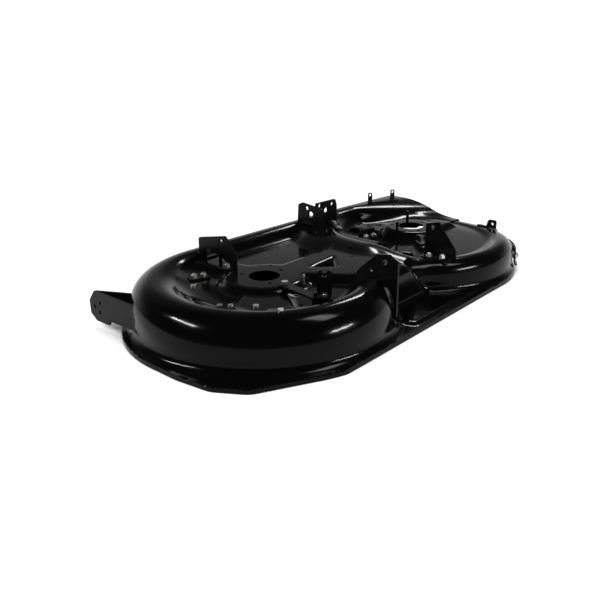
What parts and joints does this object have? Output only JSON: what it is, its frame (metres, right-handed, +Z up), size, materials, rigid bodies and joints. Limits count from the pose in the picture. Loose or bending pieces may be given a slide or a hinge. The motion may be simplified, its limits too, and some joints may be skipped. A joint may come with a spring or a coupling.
{
  "type": "lawn mower deck",
  "caption": "Pressed steel cutting deck of a ride-on mower: round blade chambers, side discharge, spindle seats and upright hanger brackets.",
  "frame": {"origin": "middle of the deck's plan outline, on the plane of the rim's lower edge", "axes": "+X along the deck towards the discharge end, +Y to the mower's front, +Z up"},
  "size_m": [1.081, 0.6, 0.1728],
  "materials": {
    "black_paint": "gloss black coat on steel",
    "zinc_steel": "zinc plated"
  },
  "bodies": {
    "root": {"deck_shell": "black_paint", "front_left_hanger": "black_paint", "rear_left_hanger": "black_paint", "rear_right_hanger": "black_paint", "front_link_plate": "black_paint", "front_link_cross_plate": "black_paint", "belt_keeper": "black_paint", "latch_arm": "black_paint", "latch_post": "black_paint", "deflector_lug_strap": "black_paint", "deflector_hinge_bracket": "black_paint", "left_gauge_bracket": "black_paint", "left_gauge_brace": "black_paint", "right_gauge_bracket": "black_paint", "left_floor_plate": "black_paint", "right_floor_bracket": "black_paint", "belt_posts": "black_paint", "bracket_bolts": "zinc_steel", "bracket_nuts": "zinc_steel", "latch_pivot": "zinc_steel", "floor_screws": "zinc_steel"}
  },
  "joints": []
}
